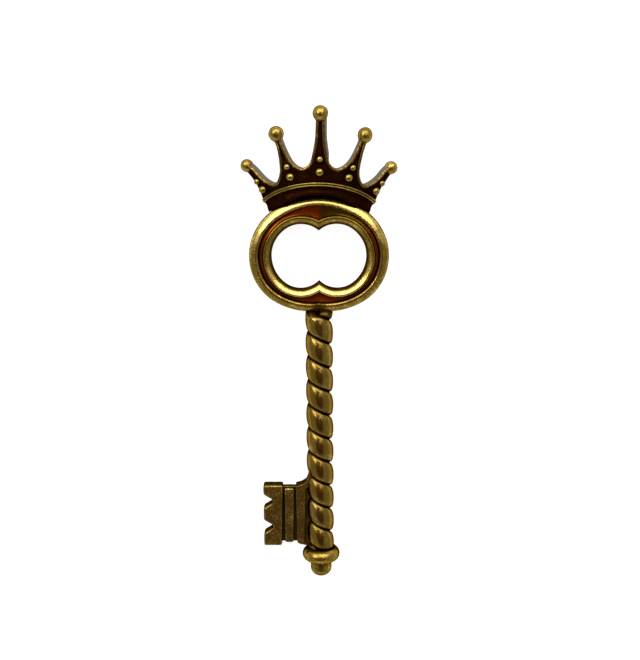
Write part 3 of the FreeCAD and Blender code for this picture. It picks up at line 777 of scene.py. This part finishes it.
# a grid whose corner number i, j goes where spotOf says, with its rims in their own finish
def bentGrid(bm, columns, rows, spotOf, rims=(0, 0)):
    angles, rises = bm.verts.layers.float["angle"], bm.verts.layers.float["rise"]
    verts = bmesh.ops.create_grid(bm, x_segments=columns, y_segments=rows, size=1)["verts"]
    for face in {face for vert in verts for face in vert.link_faces}:
        i = (face.calc_center_median().x + 1) / 2 * columns
        face.material_index = 1 if i < rims[0] or i > columns - rims[1] else 0
    for vert in verts:
        i = round((vert.co.x + 1) / 2 * columns)
        j = round((vert.co.y + 1) / 2 * rows)
        angle, rise, stand = spotOf(i, j)
        vert[angles], vert[rises] = angle, rise
        vert.co = crownSpot(angle, rise, stand)


# a spike with the part of the band below it, between its left and right edges
def addSpike(bm, number, left, right):
    leftRim = rimCount if left else 0
    rightRim = 0 if number == 2 else rimCount

    # where the sunk field starts and ends in this row
    def innerEnds(row):
        if left:
            start = insetSpot(left[row], rimSteps[-1])
        else:
            lowest = crownPlan["valleyHeights"][0] - rimSteps[-1]
            start = (0, lowest + (crownPlan["heights"][0] - lowest) * row / crownPlan["rows"])
        end = right[row][0] if number == 2 else insetSpot(right[row], rimSteps[-1])
        return start, end

    def spikeSpot(i, j):
        if i < leftRim:
            depth = rimSteps[i]
            return insetSpot(left[j], depth) + (rimStand(depth),)
        if i > leftRim + innerCount:
            depth = rimSteps[leftRim + innerCount + rightRim - i]
            return insetSpot(right[j], depth) + (rimStand(depth),)
        start, end = innerEnds(j)
        return mixSpot(start, end, (i - leftRim) / innerCount) + (0,)

    # below the spikes, down to the lip at the band's foot
    def bandSpot(i, j):
        start, end = innerEnds(0)
        angle, top = mixSpot(start, end, i / innerCount)
        section = crownPlan["bandSection"]
        k = len(section) - 1 - j
        if k < 0:
            share = -k / (crownPlan["bandRows"] - len(section) + 1)
            return angle, section[0][0] + (top - section[0][0]) * share, 0
        down = k / (len(section) - 1)
        if number == 2 and k > 0:
            endAngle = crownPlan["bandEnd"] + crownPlan["bandWiden"] * down
            angle = start[0] + (endAngle - start[0]) * i / innerCount
        rise, stand = section[k]
        return angle, rise - lipDrop(angle) * down, stand

    bentGrid(bm, leftRim + innerCount + rightRim, crownPlan["rows"], spikeSpot, (leftRim, rightRim))
    bentGrid(bm, innerCount, crownPlan["bandRows"], bandSpot)


bm = bmesh.new()
angles = bm.verts.layers.float.new("angle")
rises = bm.verts.layers.float.new("rise")
firstValley = valleyRuns(0)
secondValley = valleyRuns(1)
addSpike(bm, 0, None, firstValley[0])
addSpike(bm, 1, firstValley[1], secondValley[0])
addSpike(bm, 2, secondValley[1], endRun())
closeUp(bm)
bmesh.ops.mirror(bm, geom=bm.verts[:] + bm.edges[:] + bm.faces[:], merge_dist=weld, axis="X")
closeUp(bm)
# the sheet's wall: its back runs smooth behind the rims
fronts = set(bm.verts)
bmesh.ops.extrude_face_region(bm, geom=bm.faces[:], use_keep_orig=True)
for vert in bm.verts:
    if vert not in fronts:
        angle, rise = math.copysign(vert[angles], vert.co.x), vert[rises]
        lean = fade(rise, crownPlan["backRise"]) * (1 - fade(abs(angle), crownPlan["backSpan"]))
        vert.co = crownSpot(angle, rise, -crownPlan["wallShown"])
        vert.co.x += crownPlan["backLean"] * lean
for face in bm.faces:
    inFront = sum(vert in fronts for vert in face.verts)
    if 0 < inFront < len(face.verts):
        face.material_index = 2 if min(vert[rises] for vert in face.verts) > crownPlan["wallFrom"] else 0
setCrown(bm)
closeUp(bm)
finishPiece("crown_sheet", bm, darkBrass,
            ["crown", "rim_inner_left", "rim_inner_right", "rim_outer_left", "rim_outer_right"],
            extra=(rimBrass, wallBrass), sharp=60)

# the plate behind the crown's foot: a sector spun round the crown's line, cut flat below and in front
footPlan = {"rise": 0.3, "thick": 1.2, "depth": 4.2, "core": 0.01, "weld": 0.02, "steps": 60}

bm = bmesh.new()
plateReach = crownPlan["radius"] - crownPlan["wall"] / 2
plateWay = outward(-crownPlan["halfAngle"])
plateFoot = crownCentre + crownAxis * footPlan["rise"]
plateHead = plateFoot + crownAxis * footPlan["thick"]
verts, edges = drawLine(bm, [plateFoot + plateWay * footPlan["core"], plateFoot + plateWay * plateReach,
                             plateHead + plateWay * plateReach, plateHead + plateWay * footPlan["core"]])
edges.append(bm.edges.new((verts[-1], verts[0])))
bmesh.ops.spin(bm, geom=verts + edges, cent=crownCentre, axis=crownAxis,
               angle=math.radians(2 * crownPlan["halfAngle"]), steps=footPlan["steps"])
bmesh.ops.remove_doubles(bm, verts=bm.verts, dist=footPlan["weld"])
cutAway(bm, (0, 0, keyPlan["stemHeight"] - footPlan["depth"]), (0, 0, -1))
cutAway(bm, (0, keyPlan["bowMiddle"], 0), (0, -1, 0))
capHoles(bm)
setCrown(bm)
closeUp(bm)
finishPiece("crown_foot_plate", bm, darkBrass, [], sharp=40)

print("Pearls, studs and moulding")

pearlPlan = {"radii": (1.9, 1.9, 1.62), "across": 48, "down": 32, "draw": 0.16, "drawPower": 3, "below": 3,
             "dent": 0.05, "dentSize": 1.3, "seedStep": 7.3}
# radius and places as shares of the spikes' heights, for the lower and the upper stud of a spike
studPlan = {"lower": (1.05, (0.174, 0.187, 0.235)), "upper": (0.82, (0.356, 0.376, 0.49)),
            "wallShare": 0.15, "domeShare": 0.95, "round": 10, "steps": 32,
            "sink": 0.3, "sinkShare": 1.04, "skirt": 0.02, "skirtShare": 1.01}
spikes = [("outer_left", 2, -1), ("inner_left", 1, -1), ("middle", 0, 1), ("inner_right", 1, 1),
          ("outer_right", 2, 1)]


# a ball with shallow dents, drawn out a little towards its spike
def addPearl(seed, word, number, side):
    radius = pearlPlan["radii"][number]
    height = crownPlan["heights"][number]
    centre = crownSpot(side * crownPlan["tipAngles"][number], height, -crownPlan["wall"] / 2)
    below = height - pearlPlan["below"]
    down = (crownSpot(side * spikeAngle(number, below), below, -crownPlan["wall"] / 2) - centre).normalized()
    bm = bmesh.new()
    bmesh.ops.create_uvsphere(bm, u_segments=pearlPlan["across"], v_segments=pearlPlan["down"], radius=radius)
    for vert in bm.verts:
        way = vert.co.normalized()
        dent = noise.noise(vert.co / pearlPlan["dentSize"] + Vector((seed * pearlPlan["seedStep"], 0, 0)))
        vert.co *= 1 - pearlPlan["dent"] * max(0, dent)
        vert.co += down * (pearlPlan["draw"] * radius * max(0, way.dot(down)) ** pearlPlan["drawPower"])
    bmesh.ops.translate(bm, vec=centre, verts=bm.verts)
    setCrown(bm)
    closeUp(bm)
    finishPiece("crown_pearl_" + word, bm, rubbedBrass, ["pearl_" + word], sharp=80)


# a low dome on the crown's face
def addStud(level, word, number, side):
    radius, heightShares = studPlan[level]
    rise = crownPlan["heights"][number] * heightShares[number]
    angle = side * spikeAngle(number, rise)
    profile = [(radius * studPlan["sinkShare"], 0, -studPlan["sink"]),
               (radius * studPlan["skirtShare"], 0, studPlan["skirt"])]
    for k in range(studPlan["round"] + 1):
        turn = math.pi / 2 * k / studPlan["round"]
        up = studPlan["wallShare"] + studPlan["domeShare"] * math.sin(turn)
        profile.append((radius * math.cos(turn), 0, radius * up))
    bm = bmesh.new()
    verts, edges = drawLine(bm, profile)
    bmesh.ops.spin(bm, geom=verts + edges, cent=(0, 0, 0), axis=(0, 0, 1), angle=2 * math.pi,
                   steps=studPlan["steps"], use_merge=True)
    capHoles(bm)
    facing = faceNormal(angle).to_track_quat("Z", "Y").to_matrix().to_4x4()
    bmesh.ops.transform(bm, matrix=Matrix.Translation(crownSpot(angle, rise)) @ facing, verts=bm.verts)
    setCrown(bm)
    closeUp(bm)
    finishPiece("crown_stud_" + word + "_" + level, bm, rubbedBrass, ["stud_" + word + "_" + level],
                sharp=70)


for seed, spike in enumerate(spikes):
    addPearl(seed, *spike)
    addStud("lower", *spike)
    addStud("upper", *spike)

mouldingPlan = {"bead": 0.23, "beadShare": 1.5, "apart": 0.27, "base": 0.12, "sink": 0.2, "halfAngle": 59.4,
                "steps": 110, "round": 12, "endSoft": 0.14, "endSegments": 3}

bm = bmesh.new()
bead, halfGap = mouldingPlan["bead"], mouldingPlan["apart"]
section = [(halfGap + bead, -mouldingPlan["sink"])]
for side in (1, -1):
    for k in range(mouldingPlan["round"] + 1):
        turn = math.pi * k / mouldingPlan["round"]
        section.append((side * halfGap + bead * math.cos(turn),
                        mouldingPlan["base"] + bead * mouldingPlan["beadShare"] * math.sin(turn)))
section.append((-halfGap - bead, -mouldingPlan["sink"]))
verts, edges = drawLine(bm, [crownSpot(-mouldingPlan["halfAngle"], rise, stand) for rise, stand in section])
edges.append(bm.edges.new((verts[-1], verts[0])))
bmesh.ops.spin(bm, geom=verts + edges, cent=crownCentre, axis=crownAxis,
               angle=math.radians(2 * mouldingPlan["halfAngle"]), steps=mouldingPlan["steps"])
bmesh.ops.remove_doubles(bm, verts=bm.verts, dist=weld)
ends = capHoles(bm)
bmesh.ops.bevel(bm, geom=ends, offset=mouldingPlan["endSoft"], segments=mouldingPlan["endSegments"],
                profile=0.5, affect="EDGES", material=-1, clamp_overlap=True)
setCrown(bm)
closeUp(bm)
finishPiece("crown_double_bead", bm, rubbedBrass, ["crown_moulding"], sharp=60)

print("Collar and end knob")

turnedPlan = {"steps": 96, "collarRadius": 4.89, "collarInside": 1.4, "collarRound": 24,
              "knobRadius": 2.74, "knobDome": 2.4, "knobWall": 0.6, "knobRound": 18, "sink": 0.3}


# piece turned round the stem's line from radius and place along the key
def spinPiece(name, profile, node):
    bm = bmesh.new()
    height = keyPlan["stemHeight"]
    verts, edges = drawLine(bm, [(0, along, height + out) for out, along in profile])
    bmesh.ops.spin(bm, geom=verts + edges, cent=(0, 0, height), axis=(0, 1, 0), angle=2 * math.pi,
                   steps=turnedPlan["steps"], use_merge=True)
    capHoles(bm)
    closeUp(bm)
    finishPiece(name, bm, agedBrass, [node], sharp=50)


halfThick = (keyPlan["stemStart"] - keyPlan["collarStart"]) / 2
collarMiddle = keyPlan["collarStart"] + halfThick
profile = [(turnedPlan["collarInside"], keyPlan["collarStart"])]
for k in range(turnedPlan["collarRound"] + 1):
    turn = math.pi * (k / turnedPlan["collarRound"] - 0.5)
    profile.append((turnedPlan["collarRadius"] - halfThick + halfThick * math.cos(turn),
                    collarMiddle + halfThick * math.sin(turn)))
profile.append((turnedPlan["collarInside"], keyPlan["stemStart"]))
spinPiece("round_collar", profile, "collar")

dome, knobRadius = turnedPlan["knobDome"], turnedPlan["knobRadius"]
knobTop = keyPlan["collarStart"] + turnedPlan["sink"]
profile = [(0, keyPlan["knobEnd"])]
for k in range(1, turnedPlan["knobRound"] + 1):
    turn = math.pi / 2 * k / turnedPlan["knobRound"]
    profile.append((knobRadius * math.sin(turn), keyPlan["knobEnd"] + dome - dome * math.cos(turn)))
profile.append((knobRadius, keyPlan["collarStart"] - turnedPlan["knobWall"]))
profile += [(knobRadius, knobTop), (0, knobTop)]
spinPiece("end_knob_dome", profile, "end_knob")

print("Bit")

bitPlan = {
    "low": -52.55, "high": -35.85, "left": -14.95, "right": (-10.24, -9.79), "thick": 3.56,
    "notchDepth": 2.4, "notchFloor": 0.8, "notchHeight": 3.75, "teeth": (3.4, 3.25),
    "soft": 0.5, "segments": 5, "filed": 0.62, "filedSteps": 4, "straight": 150,
    # the middle bar, the root that sweeps up into the stem, and the thin web behind all three bars
    "middle": ((-9.42, -51.7), (-9.47, -36.6), (-6.85, -36.6), (-7.19, -51.7)),
    "root": ((-2.0, -35.2), (-3.95, -37.0), (-4.4, -52.4), (-5.56, -52.15), (-6.2, -51.75), (-6.48, -36.05),
             (-5.7, -35.9), (-4.8, -35.6), (-3.75, -34.9), (-3.25, -33.7), (-3.0, -32.5), (-2.0, -31.4)),
    "rootThick": 3.46,
    "web": ((-11.0, -51.6), (-11.0, -36.35), (-2.4, -36.35), (-2.4, -52.9), (-4.5, -52.9), (-5.6, -51.6)),
    "webThick": 1.5, "webSoft": 0.15,
}


# an outline with its outer corners rounded off, as filing leaves them
def filedOutline(points):
    points = [Vector(point) for point in points]
    winding = sum(a.x * b.y - a.y * b.x for a, b in zip(points, points[1:] + points[:1]))
    outline = []
    for before, here, after in zip(points[-1:] + points[:-1], points, points[1:] + points[:1]):
        start, end = before - here, after - here
        turned = (start.y * end.x - start.x * end.y) * winding
        if turned <= 0 or start.angle(end) > math.radians(bitPlan["straight"]):
            outline.append(here)
            continue
        cut = min(bitPlan["filed"], 0.45 * start.length, 0.45 * end.length)
        start, end = here + start.normalized() * cut, here + end.normalized() * cut
        for step in range(bitPlan["filedSteps"] + 1):
            share = step / bitPlan["filedSteps"]
            outline.append(start.lerp(here, share).lerp(here.lerp(end, share), share))
    return outline


# an upright bar of the bit, cut out flat, given its thickness and softened
def addBar(bm, points, thick, soft):
    verts = [bm.verts.new((x, y, keyPlan["stemHeight"] - thick / 2)) for x, y in filedOutline(points)]
    face = bm.faces.new(verts)
    grown = bmesh.ops.extrude_face_region(bm, geom=[face])["geom"]
    lifted = [part for part in grown if isinstance(part, bmesh.types.BMVert)]
    bmesh.ops.translate(bm, vec=(0, 0, thick), verts=lifted)
    edges = [e for e in bm.edges for own in (verts, lifted) if e.verts[0] in own and e.verts[1] in own]
    bmesh.ops.bevel(bm, geom=edges, offset=soft, segments=bitPlan["segments"], profile=0.5, affect="EDGES",
                    material=-1, clamp_overlap=True)


# the outer bar's outline, with a sloping notch above each of the two lower teeth
def toothedOutline():
    low, high, left = bitPlan["low"], bitPlan["high"], bitPlan["left"]
    inner = left + bitPlan["notchDepth"]
    slope = (bitPlan["notchHeight"] - bitPlan["notchFloor"]) / 2
    outline = [(left, low)]
    y = low
    for tooth in bitPlan["teeth"]:
        y += tooth
        outline += [(left, y), (inner, y + slope), (inner, y + slope + bitPlan["notchFloor"]),
                    (left, y + bitPlan["notchHeight"])]
        y += bitPlan["notchHeight"]
    return outline + [(left, high), (bitPlan["right"][1], high), (bitPlan["right"][0], low)]


bm = bmesh.new()
addBar(bm, toothedOutline(), bitPlan["thick"], bitPlan["soft"])
addBar(bm, bitPlan["middle"], bitPlan["thick"], bitPlan["soft"])
addBar(bm, bitPlan["root"], bitPlan["rootThick"], bitPlan["soft"])
addBar(bm, bitPlan["web"], bitPlan["webThick"], bitPlan["webSoft"])
bmesh.ops.recalc_face_normals(bm, faces=bm.faces)
finishPiece("notched_bit", bm, bitBrass, ["bit"], sharp=35)
